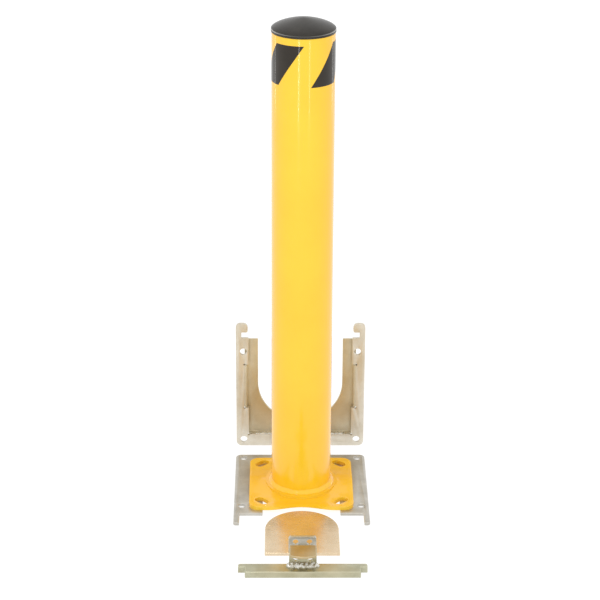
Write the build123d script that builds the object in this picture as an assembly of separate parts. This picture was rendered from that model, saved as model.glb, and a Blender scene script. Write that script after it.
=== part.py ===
"""Removable surface-mounted pipe bollard, laid out as a kit.

Millimetres, +Z up. The origin is the centre of the four anchor holes, on the floor; +Y points to
the rear. The ground plate is bolted to the floor and carries the post's foot. The receiver swings
down over the foot, the tongue slides into the ground plate's slot, and the lock bar goes in
between the legs, behind the receiver's hooks. The receiver, tongue and lock bar are modelled where
they end up when locked, then carried back to where they stand in the kit.
"""

import math
import os

from build123d import *

# post
TUBE_R = 57.15
TUBE_WALL = 6.0
TUBE_LENGTH = 894.0
FOOT_WELD_LEG = 6.4
FOOT_SIZE = 200.0
FOOT_T = 7.6
FOOT_CORNER_R = 19.0
ARCH_RISE = 6.4              # how far the foot's middle stands above its four corner pads
PAD_WIDTH = 34.0
ARCH_HALF_SPAN = FOOT_SIZE / 2 - PAD_WIDTH
BOSS_R = TUBE_R + FOOT_WELD_LEG + 5.45
SLOT_OFFSET = FOOT_SIZE / 2 - 24
SLOT_LENGTH = 30.0
SLOT_WIDTH = 17.5

# ground plate and receiver frame, two plates of one outline round the foot
PLATE_T = 6.4
ARM_WIDTH = 25.2             # the frame's arms, beside the foot
REAR_BAND = 25.4             # the frame behind the foot
WINDOW_CLEARANCE = 3.8       # each side of the foot
FOOT_REAR_CLEARANCE = 3.1
FOOT_FRONT_ROOM = 10.5       # foot to the shoulder that the legs stand out from
PLATE_WIDTH = FOOT_SIZE + 2 * (WINDOW_CLEARANCE + ARM_WIDTH)
PLATE_DEPTH = REAR_BAND + FOOT_REAR_CLEARANCE + FOOT_SIZE + FOOT_FRONT_ROOM
PLATE_CORNER_R = 11.0
HOLE_R = 7.1
HOLE_SIDE_MARGIN = 14.7
HOLE_REAR_MARGIN = 14.0
HOLE_FRONT_MARGIN = 29.4
HOLE_SPACING_X = PLATE_WIDTH - 2 * HOLE_SIDE_MARGIN
HOLE_SPACING_Y = PLATE_DEPTH - HOLE_REAR_MARGIN - HOLE_FRONT_MARGIN
LEG_WIDTH = 11.0
LEG_LENGTH = 37.0
LEG_TIP_R = 5.0

# dome cap
CAP_R = TUBE_R + 0.85
CAP_LIP = 4.6
CAP_GROOVE = 1.3
DOME_RISE = 19.5
CAP_WALL = 3.0
SKIRT_DEPTH = 30.0
SKIRT_CLEARANCE = 0.3

# hazard stripes, stickers on the tube
STRIPE_T = 0.25
STRIPE_HEIGHT = 75.0
STRIPE_BELOW_TOP = 13.0
STRIPE_COUNT = 3
STRIPE_WIDTH_DEG = 56.0
STRIPE_SLANT_DEG = 51.0
STRIPE_FIRST_DEG = 0.0       # where the first stripe's leading top corner is, from straight ahead

# receiver
SEAT_GAP = 0.3
NOTCH_LENGTH = 96.0
NOTCH_SHIFT = -5.0
NOTCH_RELIEF_R = 2.5
STEM_WIDTH = 11.0
HOOK_SLOT = 12.7
HOOK_DEPTH = 19.0
HOOK_CORNER_R = 9.0
HOOK_NOSE_R = 4.0
HOOK_GAP = 1.2               # hook tip to the lock bar's middle
SADDLE_T = 4.8
SADDLE_CLEARANCE = 1.7       # saddle's underside above the foot's crown
SADDLE_U_CLEARANCE = 27.8    # around the tube
SADDLE_U_SHIFT = -6.0        # the U's centre from the tube's
SADDLE_FRONT_SETBACK = 7.0
SADDLE_CORNER_R = 9.0
SADDLE_BEND_R = 4.0
NOTCH_DEPTH = 8.2
FLANGE_END_CLEARANCE = 1.5
SIDE_WELD_LEG = 4.5
REAR_WELD_LENGTH = 35.0
REAR_WELD_MARGIN = 12.6
REAR_WELD_HEIGHT = 8.0
REAR_WELD_STANDOUT = 1.5

# tongue
TONGUE_R = 69.0
TONGUE_STRAIGHT = 88.0
TONGUE_CLEARANCE = 4.9
TAB_WIDTH = 50.8
TAB_T = 6.4
TAB_TOP = 38.4
TAB_CORNER_R = 5.0
TAB_SETBACK = 2.5
TAB_WELD_LEG = 4.0
PADLOCK_R = 5.4
PADLOCK_X = 12.7
PADLOCK_Z = 27.4

# lock bar and its hasp
BAR_T = 12.7
BAR_DEPTH = 29.0
BAR_SIDE_CLEARANCE = 1.4     # bar's ends to the hooks' stems
BAR_END_LENGTH = 12.6
BAR_END_DEPTH = 11.2
BAR_GAP = 0.5                # bar's back face to the shoulder
BAR_EDGE_R = 0.8
BAR_END_R = 4.0
WEB_WIDTH = 49.5
WEB_T = 6.4
WEB_SETBACK = 2.0
HOOD_WIDTH = 47.5
HOOD_T = 4.8
HOOD_CLEARANCE = 7.6         # above the tongue's tab
HOOD_SIDE_DEPTH = 35.8
HOOD_NOSE = 6.2
HASP_WELD_LENGTH = WEB_WIDTH + 10.5
HASP_WELD_LEG = 5.0
HOOD_WELD_LEG = 3.0

# where the loose pieces stand in the kit
RECEIVER_GAP = 52.5          # ground plate's rear edge to the receiver's face
TONGUE_TUCK = 9.0            # how far the tongue's round end is left inside the slot
BAR_GAP_IN_KIT = 47.0
TONGUE_TRAVEL = TONGUE_STRAIGHT + TONGUE_R - TONGUE_TUCK
BAR_TRAVEL = TONGUE_TRAVEL + BAR_GAP_IN_KIT

REAR_Y = HOLE_SPACING_Y / 2 + HOLE_REAR_MARGIN
SHOULDER_Y = REAR_Y - PLATE_DEPTH
HALF_WIDTH = PLATE_WIDTH / 2
RECEIVER_FACE_Y = REAR_Y + RECEIVER_GAP
SLOT_CENTRE_Y = SHOULDER_Y + TONGUE_STRAIGHT
FOOT_TOP_Z = PLATE_T + FOOT_T + ARCH_RISE
TUBE_TOP_Z = FOOT_TOP_Z + TUBE_LENGTH
FRAME_Z = PLATE_T + SEAT_GAP
FRAME_TOP_Z = FRAME_Z + PLATE_T
SADDLE_Z = FOOT_TOP_Z + SADDLE_CLEARANCE
WINDOW_X = FOOT_SIZE / 2 + WINDOW_CLEARANCE
WINDOW_Y = REAR_Y - REAR_BAND
POST_Y = WINDOW_Y - FOOT_REAR_CLEARANCE - FOOT_SIZE / 2
NOTCH_X = WINDOW_X + NOTCH_DEPTH
NOTCH_Y = POST_Y + NOTCH_SHIFT
BAR_HALF = HALF_WIDTH - STEM_WIDTH - BAR_SIDE_CLEARANCE
BAR_MIDDLE_HALF = BAR_HALF - BAR_END_LENGTH
BAR_BACK_Y = SHOULDER_Y - BAR_GAP
WEB_FRONT_Y = BAR_BACK_Y - WEB_SETBACK - WEB_T
TAB_FRONT_Y = SHOULDER_Y + TAB_SETBACK
HOOD_TOP = TAB_TOP + HOOD_CLEARANCE + HOOD_T
BIG = 4 * PLATE_WIDTH


def box(x0, x1, y0, y1, z0, z1):
    size = (x1 - x0, y1 - y0, z1 - z0)
    centre = ((x0 + x1) / 2, (y0 + y1) / 2, (z0 + z1) / 2)
    return Pos(*centre) * Box(*size)


def post(x, y, r, z0, z1):
    """A round bar standing on z0."""
    return Pos(x, y, (z0 + z1) / 2) * Cylinder(r, z1 - z0)


def both_sides(shape):
    return shape + mirror(shape, about=Plane.YZ)


def sheet_along_x(points, x0, x1):
    """A (y, z) outline pulled along X."""
    face = make_face(Polyline(*[(x0, y, z) for y, z in points], close=True))
    return extrude(face, amount=x1 - x0, dir=(1, 0, 0))


def anchor_holes(z0, z1):
    places = GridLocations(HOLE_SPACING_X, HOLE_SPACING_Y, 2, 2)
    return [post(p.position.X, p.position.Y, HOLE_R, z0 - 1, z1 + 1) for p in places]


def round_upright_edges(shape, radius, wanted):
    edges = [e for e in shape.edges().filter_by(Axis.Z) if wanted(e.center())]
    return fillet(edges, radius) if edges else shape


def ground_plate():
    plate = box(-HALF_WIDTH, HALF_WIDTH, SHOULDER_Y, REAR_Y, 0, PLATE_T)
    tip = SHOULDER_Y - LEG_LENGTH
    plate += both_sides(box(HALF_WIDTH - LEG_WIDTH, HALF_WIDTH, tip, SHOULDER_Y + 1, 0, PLATE_T))
    slot_r = TONGUE_R + TONGUE_CLEARANCE
    plate -= post(0, SLOT_CENTRE_Y, slot_r, -1, PLATE_T + 1)
    plate -= box(-slot_r, slot_r, SHOULDER_Y - 1, SLOT_CENTRE_Y, -1, PLATE_T + 1)
    for hole in anchor_holes(0, PLATE_T):
        plate -= hole
    plate = round_upright_edges(plate, PLATE_CORNER_R, lambda c: c.Y > REAR_Y - 0.1)
    outer = HALF_WIDTH - 0.1
    return round_upright_edges(plate, LEG_TIP_R, lambda c: c.Y < tip + 0.1 and abs(c.X) > outer)


def arch(lift, base, far):
    """A ridge across the foot, swelling smoothly from pad level to the crown."""
    low = PLATE_T + lift
    left, crown, right = (-ARCH_HALF_SPAN, 0, low), (0, 0, low + ARCH_RISE), (ARCH_HALF_SPAN, 0, low)
    outline = [
        Line((-far, 0, base), (far, 0, base)),
        Line((far, 0, base), (far, 0, low)),
        Line((far, 0, low), right),
        Spline(right, crown, tangents=[(-1, 0, 0), (-1, 0, 0)]),
        Spline(crown, left, tangents=[(-1, 0, 0), (-1, 0, 0)]),
        Line(left, (-far, 0, low)),
        Line((-far, 0, low), (-far, 0, base)),
    ]
    return extrude(make_face(outline), amount=far, dir=(0, 1, 0), both=True)


def foot_plate():
    """A square blank, its top cut to two crossing ridges and a boss and its underside to match."""
    crown = PLATE_T + ARCH_RISE
    height = ARCH_RISE + FOOT_T + 4
    blank = Pos(0, 0, PLATE_T - 1) * extrude(RectangleRounded(FOOT_SIZE, FOOT_SIZE, FOOT_CORNER_R), height)
    ridge = arch(FOOT_T, PLATE_T - 2, FOOT_SIZE)
    foot = (blank & ridge) + (blank & ridge.rotate(Axis.Z, 90))
    foot += post(0, 0, BOSS_R, PLATE_T - 0.5, crown + FOOT_T)
    hollow = arch(0, PLATE_T - 3, FOOT_SIZE + 5)
    foot -= hollow
    foot -= hollow.rotate(Axis.Z, 90)
    foot -= post(0, 0, BOSS_R - FOOT_T, PLATE_T - 4, crown)
    for turn in range(4):
        angle = 45 + 90 * turn
        reach = SLOT_OFFSET * math.sqrt(2)
        slot = extrude(SlotOverall(SLOT_LENGTH, SLOT_WIDTH), height + 2)
        foot -= Rot(0, 0, angle) * Pos(reach, 0, PLATE_T - 2) * Rot(0, 0, 90) * slot
    return Pos(0, POST_Y, 0) * foot


def post_tube():
    middle = (FOOT_TOP_Z + TUBE_TOP_Z) / 2
    tube = Cylinder(TUBE_R, TUBE_LENGTH) - Cylinder(TUBE_R - TUBE_WALL, TUBE_LENGTH + 2)
    return Pos(0, POST_Y, middle) * tube


def foot_weld():
    """The fillet weld round the tube, with a slightly hollow face."""
    top = (TUBE_R, 0, FOOT_TOP_Z + FOOT_WELD_LEG)
    toe = (TUBE_R + FOOT_WELD_LEG, 0, FOOT_TOP_Z)
    waist = (TUBE_R + 0.36 * FOOT_WELD_LEG, 0, FOOT_TOP_Z + 0.36 * FOOT_WELD_LEG)
    root = (TUBE_R, 0, FOOT_TOP_Z)
    section = make_face([ThreePointArc(top, waist, toe), Line(toe, root), Line(root, top)])
    return Pos(0, POST_Y, 0) * revolve(section, Axis.Z)


def dome_cap():
    """A moulded plug: lip, groove and dome outside, a skirt inside the tube."""
    z0 = TUBE_TOP_Z
    rim = z0 + CAP_LIP
    skirt_r = TUBE_R - TUBE_WALL - SKIRT_CLEARANCE
    inner_r = skirt_r - CAP_WALL
    waist_r = CAP_R - CAP_GROOVE
    shoulder = rim + CAP_GROOVE
    apex = shoulder + DOME_RISE
    outer_mid = (CAP_R * math.sin(math.radians(52)), 0, shoulder + DOME_RISE * math.cos(math.radians(52)))
    roof = apex - CAP_WALL
    outside = [
        (inner_r, 0, z0 - SKIRT_DEPTH), (skirt_r, 0, z0 - SKIRT_DEPTH), (skirt_r, 0, z0),
        (CAP_R, 0, z0), (CAP_R, 0, rim - 0.4), (waist_r, 0, rim), (waist_r, 0, rim + 0.4), (CAP_R, 0, shoulder),
    ]
    edges = [Line(a, b) for a, b in zip(outside, outside[1:])]
    edges.append(Spline(outside[-1], outer_mid, (0, 0, apex), tangents=[(-0.25, 0, 1), (-1, 0, 0)]))
    edges.append(Line((0, 0, apex), (0, 0, roof)))
    edges.append(ThreePointArc((0, 0, roof), (inner_r * 0.6, 0, roof - 4), (inner_r, 0, z0)))
    edges.append(Line((inner_r, 0, z0), outside[0]))
    return Pos(0, POST_Y, 0) * revolve(make_face(edges), Axis.Z)


def half_space(angle, side):
    """Everything on one side of a slanting stripe edge whose middle is at this angle round the tube."""
    outer = TUBE_R + STRIPE_T
    across = outer * math.sin(math.radians(STRIPE_SLANT_DEG / 2))
    tilt = math.degrees(math.atan2(STRIPE_HEIGHT / 2, across))
    block = Pos(0, 0, side * BIG / 2) * Box(BIG, BIG, BIG)
    return Rot(0, 0, angle) * Rot(tilt, 0, 0) * block


def hazard_stripe(number):
    """A slanting sticker: a slice of a thin ring between two tilted planes."""
    top = TUBE_TOP_Z - STRIPE_BELOW_TOP
    lead = STRIPE_FIRST_DEG - 90 + number * 360 / STRIPE_COUNT
    first = lead - STRIPE_SLANT_DEG / 2
    last = first - STRIPE_WIDTH_DEG
    ring = Cylinder(TUBE_R + STRIPE_T, STRIPE_HEIGHT) - Cylinder(TUBE_R, STRIPE_HEIGHT + 2)
    reach = STRIPE_SLANT_DEG / 2 + 1
    span = [last - reach + k * (first - last + 2 * reach) / 4 for k in range(5)]
    rim = [(2 * TUBE_R * math.cos(math.radians(a)), 2 * TUBE_R * math.sin(math.radians(a))) for a in span]
    wedge = extrude(make_face(Polyline((0, 0), *rim, close=True)), STRIPE_HEIGHT, both=True)
    stripe = (ring & wedge) & half_space(first, 1)
    stripe = stripe & half_space(last, -1)
    return Pos(0, POST_Y, top - STRIPE_HEIGHT / 2) * stripe


def receiver_frame():
    z0, z1 = FRAME_Z, FRAME_TOP_Z
    hook_y = SHOULDER_Y - HOOK_SLOT
    tip = hook_y - HOOK_DEPTH
    hook_x = BAR_MIDDLE_HALF + HOOK_GAP
    frame = box(-HALF_WIDTH, HALF_WIDTH, SHOULDER_Y, REAR_Y, z0, z1)
    frame += both_sides(box(HALF_WIDTH - STEM_WIDTH, HALF_WIDTH, tip, SHOULDER_Y + 1, z0, z1))
    frame += both_sides(box(hook_x, HALF_WIDTH, tip, hook_y, z0, z1))
    frame -= box(-WINDOW_X, WINDOW_X, SHOULDER_Y - 1, WINDOW_Y, z0 - 1, z1 + 1)
    front, back = NOTCH_Y - NOTCH_LENGTH / 2, NOTCH_Y + NOTCH_LENGTH / 2
    frame -= box(-NOTCH_X, NOTCH_X, front, back, z0 - 1, z1 + 1)
    for x, y in [(NOTCH_X, front), (NOTCH_X, back), (WINDOW_X, WINDOW_Y)]:
        frame -= both_sides(post(x, y, NOTCH_RELIEF_R, z0 - 1, z1 + 1))
    for hole in anchor_holes(z0, z1):
        frame -= hole
    frame = round_upright_edges(frame, PLATE_CORNER_R, lambda c: c.Y > REAR_Y - 0.1)
    frame = round_upright_edges(frame, HOOK_CORNER_R, lambda c: c.Y < tip + 0.1)
    return round_upright_edges(frame, HOOK_NOSE_R, lambda c: abs(c.Y - hook_y) < 0.1 and abs(c.X) < hook_x + 0.1)


def receiver_saddle():
    """The raised U plate, folded down at the sides into the frame's notches and at the rear."""
    z0, z1 = SADDLE_Z, SADDLE_Z + SADDLE_T
    front = SHOULDER_Y + SADDLE_FRONT_SETBACK
    rear = WINDOW_Y + SADDLE_T
    saddle = box(-NOTCH_X, NOTCH_X, front, rear, z0, z1)
    flange_half = NOTCH_LENGTH / 2 - FLANGE_END_CLEARANCE
    side = box(NOTCH_X - SADDLE_T, NOTCH_X, NOTCH_Y - flange_half, NOTCH_Y + flange_half, FRAME_Z, z1)
    saddle += both_sides(side)
    saddle += box(-WINDOW_X, WINDOW_X, WINDOW_Y, rear, FRAME_TOP_Z, z1)
    u_r = TUBE_R + SADDLE_U_CLEARANCE
    u_y = POST_Y + SADDLE_U_SHIFT
    saddle -= post(0, u_y, u_r, z0 - 1, z1 + 1)
    saddle -= box(-u_r, u_r, front - 1, u_y, z0 - 1, z1 + 1)
    saddle = round_upright_edges(saddle, SADDLE_CORNER_R, lambda c: c.Y < front + 0.1 and abs(c.X) > WINDOW_X)
    top_rim = saddle.faces().sort_by(Axis.Z)[-1].edges()
    bends = [e for e in top_rim.filter_by(Axis.Y) if abs(e.center().X) > NOTCH_X - 0.1]
    bends += [e for e in top_rim.filter_by(Axis.X) if e.center().Y > rear - 0.1]
    return fillet(bends, SADDLE_BEND_R)


def side_weld(sign):
    """The fillet between a side flange and the frame's top face."""
    half = NOTCH_LENGTH / 2 - FLANGE_END_CLEARANCE
    corner = [(NOTCH_X, FRAME_TOP_Z), (NOTCH_X + SIDE_WELD_LEG, FRAME_TOP_Z), (NOTCH_X, FRAME_TOP_Z + SIDE_WELD_LEG)]
    face = make_face(Polyline(*[(sign * x, NOTCH_Y - half, z) for x, z in corner], close=True))
    return extrude(face, amount=2 * half, dir=(0, 1, 0))


def rear_weld(sign):
    """A low bead over the joint between the rear flange and the window's rear edge."""
    z = FRAME_TOP_Z
    half = REAR_WELD_HEIGHT / 2
    outer = WINDOW_X - REAR_WELD_MARGIN
    x0 = outer - REAR_WELD_LENGTH if sign > 0 else -outer
    low, high = (x0, WINDOW_Y, z - half), (x0, WINDOW_Y, z + half)
    bulge = (x0, WINDOW_Y - REAR_WELD_STANDOUT, z)
    section = make_face([ThreePointArc(low, bulge, high), Line(high, low)])
    return extrude(section, amount=REAR_WELD_LENGTH, dir=(1, 0, 0))


def tongue_plate():
    plate = post(0, SLOT_CENTRE_Y, TONGUE_R, 0, PLATE_T)
    plate += box(-TONGUE_R, TONGUE_R, SHOULDER_Y, SLOT_CENTRE_Y, 0, PLATE_T)
    return plate


def padlock_holes(y0, y1):
    length = y1 - y0 + 2
    holes = []
    for x in (-PADLOCK_X, PADLOCK_X):
        holes.append(Pos(x, (y0 + y1) / 2, PADLOCK_Z) * Rot(90, 0, 0) * Cylinder(PADLOCK_R, length))
    return holes


def tongue_tab():
    half = TAB_WIDTH / 2
    y1 = TAB_FRONT_Y + TAB_T
    tab = box(-half, half, TAB_FRONT_Y, y1, PLATE_T, TAB_TOP)
    top = [e for e in tab.edges().filter_by(Axis.Y) if e.center().Z > TAB_TOP - 0.1]
    tab = fillet(top, TAB_CORNER_R)
    for hole in padlock_holes(TAB_FRONT_Y, y1):
        tab -= hole
    return tab


def tab_weld():
    y = TAB_FRONT_Y + TAB_T
    half = TAB_WIDTH / 2 - 1
    leg = TAB_WELD_LEG
    return sheet_along_x([(y, PLATE_T), (y + leg, PLATE_T), (y, PLATE_T + leg)], -half, half)


def lock_bar():
    middle, end = BAR_MIDDLE_HALF, BAR_HALF
    bar = box(-middle, middle, BAR_BACK_Y - BAR_DEPTH, BAR_BACK_Y, 0, BAR_T)
    bar += box(-end, end, BAR_BACK_Y - BAR_END_DEPTH, BAR_BACK_Y, 0, BAR_T)
    bar = round_upright_edges(bar, BAR_END_R, lambda c: abs(c.X) > end - 0.1 and c.Y > BAR_BACK_Y - 0.1)
    top = bar.faces().sort_by(Axis.Z)[-1]
    return chamfer(top.edges(), BAR_EDGE_R)


def hasp_web():
    half = WEB_WIDTH / 2
    back = WEB_FRONT_Y + WEB_T
    web = box(-half, half, WEB_FRONT_Y, back, BAR_T, HOOD_TOP - HOOD_T)
    for hole in padlock_holes(WEB_FRONT_Y, back):
        web -= hole
    return web


def hasp_hood():
    """A flat roof over the web, with a bowed front edge."""
    half = HOOD_WIDTH / 2
    front = BAR_BACK_Y - HOOD_SIDE_DEPTH
    z = HOOD_TOP - HOOD_T
    outline = [
        Line((half, front, z), (half, BAR_BACK_Y, z)),
        Line((half, BAR_BACK_Y, z), (-half, BAR_BACK_Y, z)),
        Line((-half, BAR_BACK_Y, z), (-half, front, z)),
        ThreePointArc((-half, front, z), (0, front - HOOD_NOSE, z), (half, front, z)),
    ]
    return extrude(make_face(outline), amount=HOOD_T, dir=(0, 0, 1))


def hasp_weld():
    y, leg, half = WEB_FRONT_Y, HASP_WELD_LEG, HASP_WELD_LENGTH / 2
    bead = sheet_along_x([(y, BAR_T), (y - leg, BAR_T), (y, BAR_T + leg)], -half, half)
    end = sheet_along_x([(y, BAR_T), (y + WEB_T - 2, BAR_T), (y, BAR_T + leg)], WEB_WIDTH / 2, half)
    return bead + both_sides(end)


def hood_weld():
    y, z, leg, half = WEB_FRONT_Y, HOOD_TOP - HOOD_T, HOOD_WELD_LEG, HOOD_WIDTH / 2 - 1
    return sheet_along_x([(y, z), (y - leg, z), (y, z - leg)], -half, half)


def hinge_axis():
    """The line about which a quarter turn carries the standing receiver onto the ground plate."""
    y = (RECEIVER_FACE_Y + REAR_Y - FRAME_Z) / 2
    z = (REAR_Y - RECEIVER_FACE_Y + FRAME_Z) / 2
    return Axis((0, y, z), (1, 0, 0))


def standing(shape):
    return shape.rotate(hinge_axis(), -90)


def tongue_in_kit(shape):
    return Pos(0, -TONGUE_TRAVEL, 0) * shape


def bar_in_kit(shape):
    return Pos(0, -BAR_TRAVEL, 0) * shape


nodes = {
    "ground_plate": ground_plate(),
    "post_tube": post_tube(),
    "foot_plate": foot_plate(),
    "foot_weld": foot_weld(),
    "dome_cap": dome_cap(),
    "receiver_frame": standing(receiver_frame()),
    "receiver_saddle": standing(receiver_saddle()),
    "tongue_plate": tongue_in_kit(tongue_plate()),
    "tongue_tab": tongue_in_kit(tongue_tab()),
    "tab_weld": tongue_in_kit(tab_weld()),
    "lock_bar": bar_in_kit(lock_bar()),
    "hasp_web": bar_in_kit(hasp_web()),
    "hasp_hood": bar_in_kit(hasp_hood()),
    "hasp_weld": bar_in_kit(hasp_weld()),
    "hood_weld": bar_in_kit(hood_weld()),
}
for number in range(STRIPE_COUNT):
    nodes[f"hazard_stripe_{number + 1}"] = hazard_stripe(number)
for side_name, sign in (("left", -1), ("right", 1)):
    nodes[f"saddle_side_weld_{side_name}"] = standing(side_weld(sign))
    nodes[f"saddle_rear_weld_{side_name}"] = standing(rear_weld(sign))

os.makedirs("parts", exist_ok=True)
for name, shape in nodes.items():
    export_step(shape, f"parts/{name}.step")
print(len(nodes), "nodes, hinge at", hinge_axis().position)
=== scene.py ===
"""A removable yellow pipe bollard laid out as a kit: post on its ground plate, receiver standing
behind, tongue plate and padlock bar in front. Metres, +Z up, +Y to the rear."""

import math

import bmesh
import bpy
from mathutils import Matrix, Vector, noise


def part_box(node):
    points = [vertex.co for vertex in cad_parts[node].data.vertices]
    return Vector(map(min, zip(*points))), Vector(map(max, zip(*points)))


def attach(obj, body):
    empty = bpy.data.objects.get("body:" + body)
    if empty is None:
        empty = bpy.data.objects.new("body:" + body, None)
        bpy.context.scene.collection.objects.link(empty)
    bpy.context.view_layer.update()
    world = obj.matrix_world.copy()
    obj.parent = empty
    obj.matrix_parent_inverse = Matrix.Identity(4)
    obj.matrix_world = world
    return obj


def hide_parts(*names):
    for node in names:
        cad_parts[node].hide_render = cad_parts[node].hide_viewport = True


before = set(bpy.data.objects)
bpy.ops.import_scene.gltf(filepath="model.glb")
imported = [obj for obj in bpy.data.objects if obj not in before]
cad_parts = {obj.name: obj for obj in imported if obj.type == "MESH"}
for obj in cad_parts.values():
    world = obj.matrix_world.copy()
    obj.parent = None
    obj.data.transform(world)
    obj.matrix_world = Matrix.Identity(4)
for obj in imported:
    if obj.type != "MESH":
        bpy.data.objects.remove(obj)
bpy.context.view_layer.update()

# The room. A wide white floor, an even white tent of light round the object, four narrow strips
# of light that draw the upright lines on the glossy tube, and a small lamp up in front that puts
# glints on the painted weld.
FLOOR_HALF = 12.0
FLOOR_WHITE = (0.22, 0.22, 0.22, 1.0)
FLOOR_GLOW = 0.88
TENT_STRENGTH = 1.04
LAMP_PLACE = (-0.5, -1.5, 2.0)
LAMP_SIZE = 0.16
LAMP_RADIANCE = 55.0
STRIP_DISTANCE = 2.2
STRIP_HEIGHT = 0.5
STRIP_MIDDLE = 0.36
STRIPS = {                   # bearing from the front in degrees, width, radiance
    "left": (-121.0, 0.05, 7.0),
    "middle": (-16.5, 0.06, 14.0),
    "faint": (21.0, 0.045, 9.0),
    "right": (127.0, 0.05, 5.0),
}


def new_material(name):
    """A material, its Principled shader and its node tree."""
    material = bpy.data.materials.new(name)
    material.use_nodes = True
    tree = material.node_tree
    return material, tree.nodes["Principled BSDF"], tree


def set_inputs(node, **values):
    """Fills in a node's unlinked inputs, with underscores for the spaces in their names."""
    for key, value in values.items():
        node.inputs[key.replace("_", " ")].default_value = value


floor_bm = bmesh.new()
bmesh.ops.create_grid(floor_bm, x_segments=1, y_segments=1, size=FLOOR_HALF)
floor_mesh = bpy.data.meshes.new("floor")
floor_bm.to_mesh(floor_mesh)
floor_bm.free()
floor = bpy.data.objects.new("floor", floor_mesh)
bpy.context.collection.objects.link(floor)
floor_material, floor_shader, _ = new_material("floor_white")
set_inputs(floor_shader, Base_Color=FLOOR_WHITE, Roughness=0.9, Specular_IOR_Level=0.0)
set_inputs(floor_shader, Emission_Color=(1, 1, 1, 1), Emission_Strength=FLOOR_GLOW)
floor_mesh.materials.append(floor_material)

world = bpy.data.worlds.new("tent")
bpy.context.scene.world = world
world.use_nodes = True
set_inputs(world.node_tree.nodes["Background"], Color=(1.0, 1.0, 1.0, 1.0), Strength=TENT_STRENGTH)

for label, (bearing, width, radiance) in STRIPS.items():
    light = bpy.data.lights.new(f"strip_{label}", "AREA")
    light.shape = "RECTANGLE"
    light.size = width
    light.size_y = STRIP_HEIGHT
    light.energy = radiance * math.pi * width * STRIP_HEIGHT
    strip = bpy.data.objects.new(f"strip_{label}", light)
    angle = math.radians(bearing)
    strip.location = (
        STRIP_DISTANCE * math.sin(angle), -STRIP_DISTANCE * math.cos(angle), STRIP_MIDDLE,
    )
    strip.rotation_euler = (math.radians(90), 0, angle)
    strip.visible_camera = False
    bpy.context.collection.objects.link(strip)

glint = bpy.data.lights.new("lamp", "AREA")
glint.size = LAMP_SIZE
glint.energy = LAMP_RADIANCE * math.pi * LAMP_SIZE**2
lamp = bpy.data.objects.new("lamp", glint)
lamp.location = LAMP_PLACE
lamp.rotation_euler = (-Vector(LAMP_PLACE)).to_track_quat("-Z", "Y").to_euler()
lamp.visible_camera = False
bpy.context.collection.objects.link(lamp)

bpy.context.scene.view_settings.view_transform = "Standard"
bpy.context.scene.view_settings.look = "None"

# The camera: a long lens, a little over three metres away and looking down, with the post upright.
CAMERA_PLACE = (-0.0447, -3.2734, 1.7759)
CAMERA_PITCH = 22.92
CAMERA_YAW = 0.72
CAMERA_ROLL = 0.32
LENS_MM = 113.35

lens = bpy.data.cameras.new("camera")
lens.sensor_width = 36.0
lens.lens = LENS_MM
camera = bpy.data.objects.new("camera", lens)
turn = Matrix.Rotation(math.radians(-CAMERA_YAW), 4, "Z")
tilt = Matrix.Rotation(math.radians(90 - CAMERA_PITCH), 4, "X")
lean = Matrix.Rotation(math.radians(CAMERA_ROLL), 4, "Z")
camera.matrix_world = Matrix.Translation(CAMERA_PLACE) @ turn @ tilt @ lean
bpy.context.collection.objects.link(camera)
bpy.context.scene.camera = camera


# The post tube. A length of four-inch steel pipe, sawn square at both ends and powder coated in
# safety yellow. Its edges are eased so that the coating runs over them.
PAINT = (0.95, 0.615, 0.023, 1.0)
PAINT_DEEP = (0.93, 0.565, 0.017, 1.0)
# painted shade: the deeper orange the coat is given where it is seen at a glancing angle
PAINT_GLANCING_SHADE = (0.96, 0.455, 0.013, 1.0)
TUBE_WALL = 0.006
TUBE_EDGE = 0.0008
TUBE_NOSE = 0.3              # share of the edge at which its middle point lies
EDGE_HOLD = 0.003            # a ring this far from each end keeps the long faces' shading straight
TUBE_STEPS = 192
MERGE_DISTANCE = 1e-6
SHARP_ANGLE = math.radians(32)


def place(tree, kind, **values):
    """A shader node, with its plain settings and unlinked inputs filled in."""
    node = tree.nodes.new(kind)
    for key, value in values.items():
        if hasattr(node, key):
            setattr(node, key, value)
        else:
            set_inputs(node, **{key: value})
    return node


def new_group(name, inputs, outputs):
    """A shader node group with its sockets, its tree and its two end nodes."""
    tree = bpy.data.node_groups.new(name, "ShaderNodeTree")
    for label, kind, value in inputs:
        socket = tree.interface.new_socket(label, in_out="INPUT", socket_type=kind)
        socket.default_value = value
    for label, kind in outputs:
        tree.interface.new_socket(label, in_out="OUTPUT", socket_type=kind)
    return tree, tree.nodes.new("NodeGroupInput"), tree.nodes.new("NodeGroupOutput")


def use_group(tree, group, **values):
    """A node that places a group in a material, with its unlinked inputs filled in."""
    node = tree.nodes.new("ShaderNodeGroup")
    node.node_tree = group
    set_inputs(node, **values)
    return node


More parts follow.
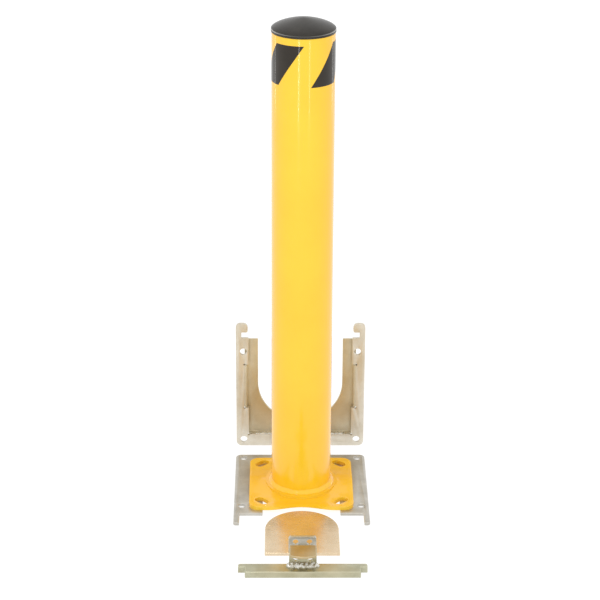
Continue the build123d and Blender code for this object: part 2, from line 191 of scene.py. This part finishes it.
def mottle_group():
    """Two tones in soft clouds, with a fine speckle over them."""
    tree, start, end = new_group(
        "mottle",
        [
            ("Light", "NodeSocketColor", (1, 1, 1, 1)),
            ("Dark", "NodeSocketColor", (0, 0, 0, 1)),
            ("CloudScale", "NodeSocketFloat", 20.0),
            ("SpeckScale", "NodeSocketFloat", 400.0),
            ("SpeckAmount", "NodeSocketFloat", 0.1),
        ],
        [("Color", "NodeSocketColor"), ("Cloud", "NodeSocketFloat"), ("Speck", "NodeSocketFloat")],
    )
    link = tree.links.new
    where = place(tree, "ShaderNodeTexCoord")
    cloud = place(tree, "ShaderNodeTexNoise", Detail=5.0, Roughness=0.6)
    speck = place(tree, "ShaderNodeTexNoise", Detail=3.0, Roughness=0.7)
    steps = place(tree, "ShaderNodeMapRange", From_Min=0.33, From_Max=0.67)
    tones = place(tree, "ShaderNodeMix", data_type="RGBA")
    spread = place(tree, "ShaderNodeMath", operation="SUBTRACT")
    spread.inputs[1].default_value = 0.5
    strength = place(tree, "ShaderNodeMath", operation="MULTIPLY")
    lift = place(tree, "ShaderNodeMath", operation="ADD")
    lift.inputs[1].default_value = 1.0
    tint = place(tree, "ShaderNodeVectorMath", operation="SCALE")
    link(where.outputs["Object"], cloud.inputs["Vector"])
    link(where.outputs["Object"], speck.inputs["Vector"])
    link(start.outputs["CloudScale"], cloud.inputs["Scale"])
    link(start.outputs["SpeckScale"], speck.inputs["Scale"])
    link(cloud.outputs["Fac"], steps.inputs["Value"])
    link(steps.outputs["Result"], tones.inputs["Factor"])
    link(start.outputs["Dark"], tones.inputs["A"])
    link(start.outputs["Light"], tones.inputs["B"])
    link(speck.outputs["Fac"], spread.inputs[0])
    link(spread.outputs[0], strength.inputs[0])
    link(start.outputs["SpeckAmount"], strength.inputs[1])
    link(strength.outputs[0], lift.inputs[0])
    link(tones.outputs["Result"], tint.inputs[0])
    link(lift.outputs[0], tint.inputs["Scale"])
    link(tint.outputs["Vector"], end.inputs["Color"])
    link(steps.outputs["Result"], end.inputs["Cloud"])
    link(speck.outputs["Fac"], end.inputs["Speck"])
    return tree


MOTTLE = mottle_group()


def bumped(tree, shader, height, strength, distance):
    """Raises a shader's surface by a height that changes over it."""
    bump = place(tree, "ShaderNodeBump", Strength=strength, Distance=distance)
    tree.links.new(height, bump.inputs["Height"])
    tree.links.new(bump.outputs["Normal"], shader.inputs["Normal"])


def gloss_paint():
    """Powder coat with a sprayed finish's orange peel, its colour a little deeper at a glancing
    angle: painted shade towards the sides.
    """
    material, shader, tree = new_material("safety_yellow_paint")
    clouds = use_group(
        tree, MOTTLE, Light=PAINT, Dark=PAINT_DEEP,
        CloudScale=7.0, SpeckScale=900.0, SpeckAmount=0.03,
    )
    # painted shade: the colour turns deeper orange towards glancing angles
    glance = place(tree, "ShaderNodeLayerWeight", Blend=0.42)
    tone = place(tree, "ShaderNodeMix", data_type="RGBA")
    tone.inputs["B"].default_value = PAINT_GLANCING_SHADE
    tree.links.new(glance.outputs["Facing"], tone.inputs["Factor"])
    tree.links.new(clouds.outputs["Color"], tone.inputs["A"])
    tree.links.new(tone.outputs["Result"], shader.inputs["Base Color"])
    peel = place(tree, "ShaderNodeTexNoise", Scale=260.0, Detail=2.0)
    where = place(tree, "ShaderNodeTexCoord")
    tree.links.new(where.outputs["Object"], peel.inputs["Vector"])
    bumped(tree, shader, peel.outputs["Fac"], strength=0.05, distance=0.0004)
    gloss = place(tree, "ShaderNodeMapRange", To_Min=0.12, To_Max=0.20)
    tree.links.new(clouds.outputs["Speck"], gloss.inputs["Value"])
    tree.links.new(gloss.outputs["Result"], shader.inputs["Roughness"])
    set_inputs(shader, Coat_Weight=0.3, Coat_Roughness=0.04)
    return material


YELLOW_PAINT = gloss_paint()


def finish_piece(name, bm, material, body, stands_for):
    """Turns a bmesh into a piece that rides on its body and stands for its CAD nodes."""
    mesh = bpy.data.meshes.new(name)
    bm.to_mesh(mesh)
    bm.free()
    for face in mesh.polygons:
        face.use_smooth = True
    mesh.set_sharp_from_angle(angle=SHARP_ANGLE)
    mesh.materials.append(material)
    piece = bpy.data.objects.new(name, mesh)
    bpy.context.collection.objects.link(piece)
    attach(piece, body)
    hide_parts(*stands_for)
    return piece


tube_low, tube_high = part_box("post_tube")
TUBE_R = (tube_high.x - tube_low.x) / 2
POST_Y = (tube_high.y + tube_low.y) / 2


def lathe(profile, steps):
    """A closed (radius, height) outline spun round the post's axis."""
    bm = bmesh.new()
    points = [bm.verts.new((radius, 0, height)) for radius, height in profile]
    edges = [bm.edges.new(pair) for pair in zip(points, points[1:] + points[:1])]
    bmesh.ops.spin(
        bm, geom=points + edges, cent=(0, 0, 0), axis=(0, 0, 1),
        angle=math.radians(360), steps=steps, use_merge=True,
    )
    bmesh.ops.remove_doubles(bm, verts=bm.verts, dist=MERGE_DISTANCE)
    bmesh.ops.recalc_face_normals(bm, faces=bm.faces)
    bmesh.ops.translate(bm, verts=bm.verts, vec=(0, POST_Y, 0))
    return bm


def tube_outline():
    """The tube's cut wall, its four corners eased and the outer top one rounded a little more."""
    inner = TUBE_R - TUBE_WALL
    low, high = tube_low.z, tube_high.z
    edge, nose = TUBE_EDGE, TUBE_NOSE * TUBE_EDGE
    return [
        (TUBE_R - edge, low), (TUBE_R, low + edge),
        (TUBE_R, low + EDGE_HOLD), (TUBE_R, high - EDGE_HOLD),
        (TUBE_R, high - edge), (TUBE_R - nose, high - nose), (TUBE_R - edge, high),
        (inner + edge, high), (inner, high - edge),
        (inner, high - EDGE_HOLD), (inner, low + EDGE_HOLD),
        (inner, low + edge), (inner + edge, low),
    ]


tube = lathe(tube_outline(), TUBE_STEPS)
finish_piece("tube", tube, YELLOW_PAINT, "post", ["post_tube"])


# The hazard stripes. Three slanting patches of glossy black film stuck round the top of the tube,
# each a little proud of the paint.
FILM_LIGHT = (0.027, 0.020, 0.012, 1.0)
FILM_DARK = (0.018, 0.013, 0.008, 1.0)
FILM_T = 0.00022
STRIPE_WIDTH_DEG = 56.0
STRIPE_SLANT_DEG = 51.0
STRIPE_COLUMNS = 40
STRIPE_ROWS = 24
STRIPE_COUNT = 3
STRIPE_START_DEG = -90.0     # the first stripe's leading edge, from +X


def film():
    """Glossy vinyl film, faintly rippled over the paint."""
    material, shader, tree = new_material("black_film")
    clouds = use_group(
        tree, MOTTLE, Light=FILM_LIGHT, Dark=FILM_DARK,
        CloudScale=30.0, SpeckScale=1500.0, SpeckAmount=0.3,
    )
    tree.links.new(clouds.outputs["Color"], shader.inputs["Base Color"])
    bumped(tree, shader, clouds.outputs["Cloud"], strength=0.08, distance=0.0005)
    set_inputs(shader, Roughness=0.10, Specular_IOR_Level=0.36)
    return material


BLACK_FILM = film()


def outwardness(bm):
    """Above zero when the faces look away from the post's axis."""
    total = 0.0
    for face in bm.faces:
        middle = face.calc_center_median()
        total += face.normal.dot(Vector((middle.x, middle.y - POST_Y, 0)))
    return total


def stripe(number):
    """A flat grid bent round the tube, its sides leaning over as it drops."""
    low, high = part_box(f"hazard_stripe_{number + 1}")
    bm = bmesh.new()
    bmesh.ops.create_grid(bm, x_segments=STRIPE_COLUMNS, y_segments=STRIPE_ROWS, size=0.5)
    lead = STRIPE_START_DEG + number * 360 / STRIPE_COUNT
    for vert in bm.verts:
        along, up = vert.co.x + 0.5, vert.co.y + 0.5
        angle = math.radians(lead - STRIPE_WIDTH_DEG * (1 - along) - STRIPE_SLANT_DEG * (1 - up))
        height = low.z + (high.z - low.z) * up
        vert.co = (TUBE_R * math.cos(angle), POST_Y + TUBE_R * math.sin(angle), height)
    bmesh.ops.recalc_face_normals(bm, faces=bm.faces)
    if outwardness(bm) < 0:
        bmesh.ops.reverse_faces(bm, faces=bm.faces)
    bmesh.ops.solidify(bm, geom=bm.faces, thickness=-FILM_T)
    return bm


for number in range(STRIPE_COUNT):
    node = f"hazard_stripe_{number + 1}"
    finish_piece(f"film_{number + 1}", stripe(number), BLACK_FILM, "post", [node])


# The dome cap. A moulded black rubber plug: a lip that sits on the pipe's end, a groove above it,
# and a low dome. Its skirt grips inside the tube.
CAP_COLOR = (0.022, 0.019, 0.015, 1.0)
CAP_DUSTY = (0.034, 0.030, 0.024, 1.0)
# painted highlight: the pale colour of the band round the lip's top, where its ledge catches the
# light
CAP_LIP_HIGHLIGHT = (0.85, 0.84, 0.80, 1.0)
CAP_LIP = 0.0046
CAP_GROOVE = 0.0013
CAP_SKIRT_WALL = 0.003
CAP_SKIRT_GAP = 0.0003
CAP_SKIRT_LEAD = 0.0006
CAP_EASE = 0.0005            # how far most of its corners are rounded
CAP_FINE_EASE = 0.0003
CAP_LEDGE = (0.0008, 0.0011)     # the worn ledge above the lip: how far in, how far down
CAP_SPRING_SETBACK = 0.0006
CAP_CEILING = 0.003          # thickness of the dome at its middle
CAP_SHOULDER = (0.6, 0.007)      # the hollow's shoulder: share of its radius, depth below the top
LIP_HIGHLIGHT_FADE_IN = (0.0009, 0.0004)   # heights below the lip's top where the painted highlight band starts
LIP_HIGHLIGHT_FADE_OUT = (0.0003, 0.0007)  # heights above it where the band ends
DOME_POINTS = 20
DOME_WIDTH_POWER = 0.9
DOME_EARLY_RISE = 0.35
DOME_LATE_RISE = 0.65
DOME_LATE_POWER = 0.8
CAP_STEPS = 160


def cap_rubber():
    """Satin rubber, with a painted highlight: a pale band round the lip's top, strongest at a
    glancing angle.
    """
    material, shader, tree = new_material("cap_rubber")
    link = tree.links.new
    clouds = use_group(
        tree, MOTTLE, Light=CAP_DUSTY, Dark=CAP_COLOR,
        CloudScale=38.0, SpeckScale=1100.0, SpeckAmount=0.7,
    )
    lip_top = tube_high.z + CAP_LIP
    where = place(tree, "ShaderNodeTexCoord")
    height = place(tree, "ShaderNodeSeparateXYZ")
    fade_in = place(
        tree, "ShaderNodeMapRange",
        From_Min=lip_top - LIP_HIGHLIGHT_FADE_IN[0], From_Max=lip_top - LIP_HIGHLIGHT_FADE_IN[1],
    )
    fade_out = place(
        tree, "ShaderNodeMapRange", To_Min=1.0, To_Max=0.0,
        From_Min=lip_top + LIP_HIGHLIGHT_FADE_OUT[0], From_Max=lip_top + LIP_HIGHLIGHT_FADE_OUT[1],
    )
    glance = place(tree, "ShaderNodeLayerWeight", Blend=0.5)
    # the painted highlight band round the lip's top, made stronger at a glancing angle
    band = place(tree, "ShaderNodeMath", operation="MULTIPLY")
    lip_highlight = place(tree, "ShaderNodeMath", operation="MULTIPLY")
    tone = place(tree, "ShaderNodeMix", data_type="RGBA")
    tone.inputs["B"].default_value = CAP_LIP_HIGHLIGHT
    link(where.outputs["Object"], height.inputs["Vector"])
    link(height.outputs["Z"], fade_in.inputs["Value"])
    link(height.outputs["Z"], fade_out.inputs["Value"])
    link(fade_in.outputs["Result"], band.inputs[0])
    link(fade_out.outputs["Result"], band.inputs[1])
    link(band.outputs[0], lip_highlight.inputs[0])
    link(glance.outputs["Facing"], lip_highlight.inputs[1])
    link(lip_highlight.outputs[0], tone.inputs["Factor"])
    link(clouds.outputs["Color"], tone.inputs["A"])
    link(tone.outputs["Result"], shader.inputs["Base Color"])
    bumped(tree, shader, clouds.outputs["Speck"], strength=0.2, distance=0.0004)
    set_inputs(shader, Roughness=0.30, Specular_IOR_Level=0.32)
    return material


def cap_outline():
    """Up the outside of the skirt, round the lip and groove, over the dome and down its hollow."""
    low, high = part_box("dome_cap")
    rim_r = (high.x - low.x) / 2
    waist_r = rim_r - CAP_GROOVE
    skirt_r = TUBE_R - TUBE_WALL - CAP_SKIRT_GAP
    inner_r = skirt_r - CAP_SKIRT_WALL
    seat = tube_high.z
    groove = seat + CAP_LIP
    spring = groove + CAP_GROOVE
    rise = high.z - spring
    ledge_in, ledge_down = CAP_LEDGE
    shoulder_share, shoulder_depth = CAP_SHOULDER
    points = [
        (inner_r, low.z), (skirt_r - CAP_EASE, low.z), (skirt_r, low.z + CAP_SKIRT_LEAD),
        (skirt_r, seat), (rim_r - CAP_EASE, seat), (rim_r, seat + CAP_EASE),
        (rim_r, groove - ledge_down), (rim_r - ledge_in, groove - CAP_FINE_EASE),
        (waist_r + CAP_FINE_EASE, groove), (waist_r, groove + CAP_FINE_EASE),
        (waist_r, spring - CAP_EASE), (rim_r - CAP_SPRING_SETBACK, spring),
    ]
    for step in range(1, DOME_POINTS):
        a = step / DOME_POINTS * math.pi / 2
        early = DOME_EARLY_RISE * math.sin(a)
        late = DOME_LATE_RISE * (1 - math.cos(a)) ** DOME_LATE_POWER
        points.append((rim_r * math.cos(a) ** DOME_WIDTH_POWER, spring + rise * (early + late)))
    return points + [
        (0, high.z), (0, high.z - CAP_CEILING),
        (inner_r * shoulder_share, high.z - shoulder_depth), (inner_r, seat),
    ]


CAP_RUBBER = cap_rubber()
cap = lathe(cap_outline(), CAP_STEPS)
finish_piece("cap", cap, CAP_RUBBER, "cap", ["dome_cap"])


# The foot. A square stamped from thick plate, its four corner pads flat and a low arch pressed up
# to the middle of each side, with slanting slots for anchors. It has the post's coating.
FOOT_EDGE = 0.0022
FOOT_EDGE_STEPS = 5
EASED_MERGE = 2e-6
FLAT_ANGLE = math.radians(0.5)


def eased(node, width, steps=3):
    """A merged copy of a CAD node with its sharp edges rounded over; the new faces are marked."""
    bm = bmesh.new()
    bm.from_mesh(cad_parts[node].data)
    layer = bm.faces.layers.float.new("edge")
    bmesh.ops.remove_doubles(bm, verts=bm.verts, dist=EASED_MERGE)
    bmesh.ops.dissolve_limit(bm, angle_limit=FLAT_ANGLE, verts=bm.verts, edges=bm.edges)
    sharp = [e for e in bm.edges if len(e.link_faces) == 2 and e.calc_face_angle(0) > SHARP_ANGLE]
    made = bmesh.ops.bevel(
        bm, geom=sharp, offset=width, offset_type="OFFSET", segments=steps, profile=0.5,
        affect="EDGES", clamp_overlap=True, material=-1,
    )
    for face in made["faces"]:
        face[layer] = 1.0
    return bm


foot = eased("foot_plate", FOOT_EDGE, FOOT_EDGE_STEPS)
finish_piece("foot", foot, YELLOW_PAINT, "post", ["foot_plate"])


# The foot weld. A fillet laid round the tube on the foot's boss and painted over, so that only its
# soft ripple shows.
WELD_STEPS = 360
WELD_RIPPLES = 30
WELD_RIPPLE_DEPTH = 0.00012
WELD_LUMP_DEPTH = 0.0011
WELD_LUMP_SCALE = 45.0
WELD_RIPPLE_WANDER = 6.0
WELD_LIFT = 0.6              # share of each ripple that also rises
WELD_STILL = 0.0008          # nearer the tube than this the ring stays round
WELD_SECTION_POINTS = 8
WELD_SWELL = 0.10
WELD_BITE = 0.0006           # how far the ring reaches into the tube's wall
WELD_SINK = 0.0004           # and into the foot
DIAGONAL = 0.7               # the swell runs square to the fillet's slope


def foot_weld_outline():
    """A fillet's section, bowed out a little between its two toes."""
    low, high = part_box("foot_weld")
    leg = high.z - low.z
    points = [(TUBE_R - WELD_BITE, low.z - WELD_SINK), (TUBE_R - WELD_BITE, high.z)]
    for step in range(WELD_SECTION_POINTS + 1):
        a = step / WELD_SECTION_POINTS
        swell = WELD_SWELL * math.sin(math.pi * a) * DIAGONAL
        points.append((TUBE_R + leg * (a + swell), high.z - leg * (a - swell)))
    return points + [(TUBE_R + leg, low.z - WELD_SINK)]


ring = lathe(foot_weld_outline(), WELD_STEPS)
for vert in ring.verts:
    reach = Vector((vert.co.x, vert.co.y - POST_Y, 0))
    if reach.length > TUBE_R + WELD_STILL:
        lump = noise.noise(reach * WELD_LUMP_SCALE)
        phase = math.atan2(reach.y, reach.x) * WELD_RIPPLES + lump * WELD_RIPPLE_WANDER
        size = WELD_RIPPLE_DEPTH * math.sin(phase) + WELD_LUMP_DEPTH * lump
        vert.co += reach.normalized() * size
        vert.co.z += WELD_LIFT * size
finish_piece("tube_weld", ring, YELLOW_PAINT, "post", ["foot_weld"])


# The ground plate. Quarter-inch steel, cut to outline and zinc plated. The plating is grey with
# cloudy patches and fine scuffs, and a little brighter along its rubbed edges.
EDGE_WIDTH = 0.0011
RUB_AMOUNT = 0.35
RUB_BRIGHTER = 1.25
SCUFF_STRETCH = (30.0, 200.0, 200.0)
SHEEN_LESS = 0.03
SHEEN_MORE = 0.04


def wear_group():
    """A stain over part of a colour, rubbed edges laid over both, and fine scuffs."""
    tree, start, end = new_group(
        "wear",
        [
            ("Color", "NodeSocketColor", (1, 1, 1, 1)),
            ("Stain", "NodeSocketColor", (0, 0, 0, 1)),
            ("StainAmount", "NodeSocketFloat", 0.5),
            ("Rubbed", "NodeSocketColor", (1, 1, 1, 1)),
            ("Edge", "NodeSocketFloat", 0.0),
        ],
        [("Color", "NodeSocketColor"), ("Scuffs", "NodeSocketFloat")],
    )
    link = tree.links.new
    where = place(tree, "ShaderNodeTexCoord")
    patch = place(tree, "ShaderNodeTexNoise", Scale=9.0, Detail=4.0, Distortion=0.6)
    cover = place(tree, "ShaderNodeMapRange", From_Min=0.42, From_Max=0.72)
    stained = place(tree, "ShaderNodeMix", data_type="RGBA")
    lines = place(tree, "ShaderNodeMapping", Scale=SCUFF_STRETCH)
    scuffs = place(tree, "ShaderNodeTexNoise", Scale=1.0, Detail=4.0, Roughness=0.65)
    rub = place(tree, "ShaderNodeMath", operation="MULTIPLY")
    rub.inputs[1].default_value = RUB_AMOUNT
    rubbed = place(tree, "ShaderNodeMix", data_type="RGBA")
    link(where.outputs["Object"], patch.inputs["Vector"])
    link(where.outputs["Object"], lines.inputs["Vector"])
    link(lines.outputs["Vector"], scuffs.inputs["Vector"])
    link(patch.outputs["Fac"], cover.inputs["Value"])
    link(start.outputs["StainAmount"], cover.inputs["To Max"])
    link(cover.outputs["Result"], stained.inputs["Factor"])
    link(start.outputs["Color"], stained.inputs["A"])
    link(start.outputs["Stain"], stained.inputs["B"])
    link(start.outputs["Edge"], rub.inputs[0])
    link(rub.outputs[0], rubbed.inputs["Factor"])
    link(stained.outputs["Result"], rubbed.inputs["A"])
    link(start.outputs["Rubbed"], rubbed.inputs["B"])
    link(rubbed.outputs["Result"], end.inputs["Color"])
    link(scuffs.outputs["Fac"], end.inputs["Scuffs"])
    return tree


WEAR = wear_group()


def zinc(name, light, dark, stain, stain_amount, roughness):
    """Plated steel: clouds of two tones, worn, with its sheen broken by the scuffs."""
    material, shader, tree = new_material(name)
    link = tree.links.new
    clouds = use_group(
        tree, MOTTLE, Light=light + (1.0,), Dark=dark + (1.0,),
        CloudScale=26.0, SpeckScale=700.0, SpeckAmount=0.35,
    )
    brighter = tuple(min(1.0, channel * RUB_BRIGHTER) for channel in light)
    wear = use_group(
        tree, WEAR, Stain=stain + (1.0,), StainAmount=stain_amount, Rubbed=brighter + (1.0,),
    )
    edge = place(tree, "ShaderNodeAttribute", attribute_name="edge")
    sheen = place(
        tree, "ShaderNodeMapRange", From_Min=0.3, From_Max=0.7,
        To_Min=roughness - SHEEN_LESS, To_Max=roughness + SHEEN_MORE,
    )
    link(clouds.outputs["Color"], wear.inputs["Color"])
    link(edge.outputs["Fac"], wear.inputs["Edge"])
    link(wear.outputs["Color"], shader.inputs["Base Color"])
    link(wear.outputs["Scuffs"], sheen.inputs["Value"])
    link(sheen.outputs["Result"], shader.inputs["Roughness"])
    bumped(tree, shader, clouds.outputs["Speck"], strength=0.18, distance=0.0004)
    set_inputs(shader, Metallic=0.85)
    return material


GREY_ZINC = zinc(
    "grey_zinc", light=(0.61, 0.59, 0.54), dark=(0.46, 0.44, 0.39), stain=(0.50, 0.44, 0.33),
    stain_amount=0.4, roughness=0.34,
)
ground = eased("ground_plate", EDGE_WIDTH)
finish_piece("ground", ground, GREY_ZINC, "base", ["ground_plate"])


# The receiver. A flat frame cut to the ground plate's outline with two hooks, and a raised U plate
# folded down into it and welded. Its zinc has the warm, patchy tint of a passivated finish.
SADDLE_EDGE = 0.0007

WARM_ZINC = zinc(
    "warm_zinc", light=(0.76, 0.72, 0.63), dark=(0.62, 0.57, 0.47), stain=(0.58, 0.47, 0.30),
    stain_amount=0.4, roughness=0.46,
)
SADDLE_ZINC = zinc(
    "saddle_zinc", light=(0.67, 0.62, 0.49), dark=(0.55, 0.49, 0.36), stain=(0.48, 0.37, 0.19),
    stain_amount=0.5, roughness=0.44,
)
flat = eased("receiver_frame", EDGE_WIDTH)
finish_piece("bracket_frame", flat, WARM_ZINC, "receiver", ["receiver_frame"])
saddle = eased("receiver_saddle", SADDLE_EDGE)
finish_piece("bracket_saddle", saddle, SADDLE_ZINC, "receiver", ["receiver_saddle"])


# The receiver's weld beads. Each is a row of overlapping pools: two bright ones over the joint at
# the rear of the window, and a dull one outside each side flange.
BEAD_SIDES = 20
BEAD_RINGS_PER_POOL = 6
BEAD_RINGS_LEAST = 8
BEAD_TIP = 0.25              # share of the thickness left at the very ends
BEAD_TIP_RUN = 1.5           # how many radii the rounding off takes
BEAD_LEAN = 0.35             # how far each pool trails behind at its sides
BEAD_LUMP = 0.35             # unevenness beside the ripple
BEAD_LUMP_SCALE = (300.0, 300.0, 220.0)
BEAD_LUMP_SPREAD = 50.0      # keeps one bead's lumps unlike the next one's
REAR_BEAD = {"radius": 0.0062, "pool": 0.0065, "ripple": 0.22, "flatten": 0.62}
REAR_BEAD_SINK = 0.0015      # keeps the rear beads clear of the foot once the receiver is down
SIDE_BEAD = {"radius": 0.0026, "pool": 0.0090, "ripple": 0.35}
SIDE_BEAD_INSET = 0.0006


def weld_steel():
    """Bright plated weld metal, clouded light and dark and a little uneven."""
    material, shader, tree = new_material("bright_weld")
    clouds = use_group(
        tree, MOTTLE, Light=(0.80, 0.79, 0.73, 1), Dark=(0.42, 0.39, 0.31, 1),
        CloudScale=150.0, SpeckScale=900.0, SpeckAmount=0.4,
    )
    tree.links.new(clouds.outputs["Color"], shader.inputs["Base Color"])
    bumped(tree, shader, clouds.outputs["Cloud"], strength=0.3, distance=0.0006)
    set_inputs(shader, Roughness=0.24, Metallic=0.9)
    return material


BRIGHT_WELD = weld_steel()
SEAM_ZINC = zinc(
    "seam_zinc", light=(0.44, 0.34, 0.18), dark=(0.22, 0.14, 0.06), stain=(0.20, 0.11, 0.04),
    stain_amount=0.9, roughness=0.5,
)


def bead(start, end, radius, pool, ripple, flatten=1.0):
    """A bar from start to end, swollen into overlapping pools, rounded off and then flattened."""
    start, end = Vector(start), Vector(end)
    length = (end - start).length
    bm = bmesh.new()
    bmesh.ops.create_cone(
        bm, segments=BEAD_SIDES, radius1=radius, radius2=radius, depth=length,
        cap_ends=True, cap_tris=False,
    )
    long_edges = [e for e in bm.edges if abs(e.verts[0].co.z - e.verts[1].co.z) > length / 2]
    rings = max(BEAD_RINGS_LEAST, round(length / pool) * BEAD_RINGS_PER_POOL)
    bmesh.ops.subdivide_edges(bm, edges=long_edges, cuts=rings)
    fine_x, fine_y, fine_z = BEAD_LUMP_SCALE
    for vert in bm.verts:
        along = vert.co.z + length / 2
        round_off = min(along, length - along) / (BEAD_TIP_RUN * radius)
        ease = math.sqrt(max(0.0, 1 - (1 - min(round_off, 1.0)) ** 2))
        lean = BEAD_LEAN * pool * abs(vert.co.x) / radius
        wave = abs(math.sin(math.pi * (along + lean) / pool))
        spot = Vector((vert.co.x * fine_x, vert.co.y * fine_y, along * fine_z))
        lump = noise.noise(spot + start * BEAD_LUMP_SPREAD)
        surface = 1 - ripple + ripple * wave + BEAD_LUMP * ripple * lump
        grow = (BEAD_TIP + (1 - BEAD_TIP) * ease) * surface
        vert.co.x *= grow
        vert.co.y *= grow
    turn = (end - start).to_track_quat("Z", "Y").to_matrix().to_4x4()
    to_middle = Matrix.Translation((start + end) / 2)
    squash = Matrix.Scale(flatten, 4, Vector((0, 0, 1)))
    bmesh.ops.transform(bm, matrix=to_middle @ squash @ turn, verts=bm.verts)
    bmesh.ops.recalc_face_normals(bm, faces=bm.faces)
    return bm


def level_bead(low_x, high_x, y, z, style):
    """A bead that runs straight across from left to right."""
    return bead((low_x, y, z), (high_x, y, z), **style)


for side in ("left", "right"):
    node = f"saddle_rear_weld_{side}"
    low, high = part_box(node)
    rear = level_bead(low.x, high.x, (low.y + high.y) / 2, low.z - REAR_BEAD_SINK, REAR_BEAD)
    finish_piece(f"rear_bead_{side}", rear, BRIGHT_WELD, "receiver", [node])
    node = f"saddle_side_weld_{side}"
    low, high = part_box(node)
    x = high.x - SIDE_BEAD_INSET if side == "left" else low.x + SIDE_BEAD_INSET
    y = low.y + SIDE_BEAD_INSET
    seam = bead((x, y, low.z), (x, y, high.z), **SIDE_BEAD)
    finish_piece(f"side_bead_{side}", seam, SEAM_ZINC, "receiver", [node])


# The tongue. A D-shaped plate of the same steel, with a padlock tab standing at its straight edge
# and a bead behind it. The plate is smoother than the others and mirrors the post softly.
TONGUE_SLACK = 0.00015       # worn off its top, so that it slides under the foot
TAB_EDGE = 0.0006
TAB_BEAD = {"radius": 0.003, "pool": 0.004, "ripple": 0.2}
TAB_BEAD_INSET = 0.001

# the warm orange tint of this zinc is partly its own plating and partly a painted reflection of the
# yellow post
TONGUE_ZINC_AND_REFLECTION = zinc(
    "tongue_zinc_and_reflection", light=(0.80, 0.66, 0.48), dark=(0.70, 0.56, 0.38), stain=(0.72, 0.50, 0.28),
    stain_amount=0.5, roughness=0.25,
)
tongue = eased("tongue_plate", EDGE_WIDTH)
thickness = max(vert.co.z for vert in tongue.verts)
for vert in tongue.verts:
    if vert.co.z > thickness / 2:
        vert.co.z -= TONGUE_SLACK
finish_piece("d_plate", tongue, TONGUE_ZINC_AND_REFLECTION, "tongue", ["tongue_plate"])
tab = eased("tongue_tab", TAB_EDGE)
finish_piece("lock_tab", tab, GREY_ZINC, "tongue", ["tongue_tab"])
low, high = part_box("tab_weld")
tab_bead = level_bead(
    low.x, high.x, low.y + TAB_BEAD_INSET, low.z + TAB_BEAD_INSET, TAB_BEAD,
)
finish_piece("tab_bead", tab_bead, BRIGHT_WELD, "tongue", ["tab_weld"])


# The lock bar. A solid half-inch bar with a narrower tongue at each end, a two-hole web welded on
# top and a bowed hood over the web. Its zinc is yellow-green.
BAR_EDGE = 0.0005
BAR_EDGE_STEPS = 2
WEB_EDGE = 0.0006
HOOD_EDGE = 0.0013
WEB_BEAD = {"radius": 0.0082, "pool": 0.0100, "ripple": 0.30}
WEB_BEAD_FRONT = 0.0012      # how far the bead's middle stands in front of the web
UPPER_BEAD = {"radius": 0.0042, "pool": 0.0120, "ripple": 0.40}
UPPER_BEAD_TOE = 0.006
UPPER_BEAD_RISE = 0.0048
HOOD_BEAD = {"radius": 0.0024, "pool": 0.0035, "ripple": 0.2}
HOOD_BEAD_INSET = 0.0006

BAR_ZINC = zinc(
    "yellow_zinc", light=(0.57, 0.56, 0.42), dark=(0.40, 0.39, 0.27), stain=(0.46, 0.36, 0.18),
    stain_amount=0.55, roughness=0.32,
)
HOOD_ZINC = zinc(
    "hood_zinc", light=(0.55, 0.46, 0.29), dark=(0.42, 0.33, 0.18), stain=(0.44, 0.30, 0.12),
    stain_amount=0.6, roughness=0.34,
)
bar = eased("lock_bar", BAR_EDGE, BAR_EDGE_STEPS)
finish_piece("padlock_bar", bar, BAR_ZINC, "bar", ["lock_bar"])
web = eased("hasp_web", WEB_EDGE)
finish_piece("padlock_web", web, BAR_ZINC, "bar", ["hasp_web"])
hood = eased("hasp_hood", HOOD_EDGE)
finish_piece("padlock_hood", hood, HOOD_ZINC, "bar", ["hasp_hood"])

low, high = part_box("hasp_weld")
web_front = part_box("hasp_web")[0].y
lumps = level_bead(low.x, high.x, web_front - WEB_BEAD_FRONT, low.z, WEB_BEAD)
finish_piece("web_bead", lumps, BRIGHT_WELD, "bar", ["hasp_weld"])
upper = level_bead(
    low.x + UPPER_BEAD_TOE, high.x - UPPER_BEAD_TOE, web_front, low.z + UPPER_BEAD_RISE, UPPER_BEAD,
)
finish_piece("web_bead_upper", upper, BRIGHT_WELD, "bar", [])
low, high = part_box("hood_weld")
under = level_bead(
    low.x, high.x, high.y - HOOD_BEAD_INSET, high.z - HOOD_BEAD_INSET, HOOD_BEAD,
)
finish_piece("hood_bead", under, BRIGHT_WELD, "bar", ["hood_weld"])
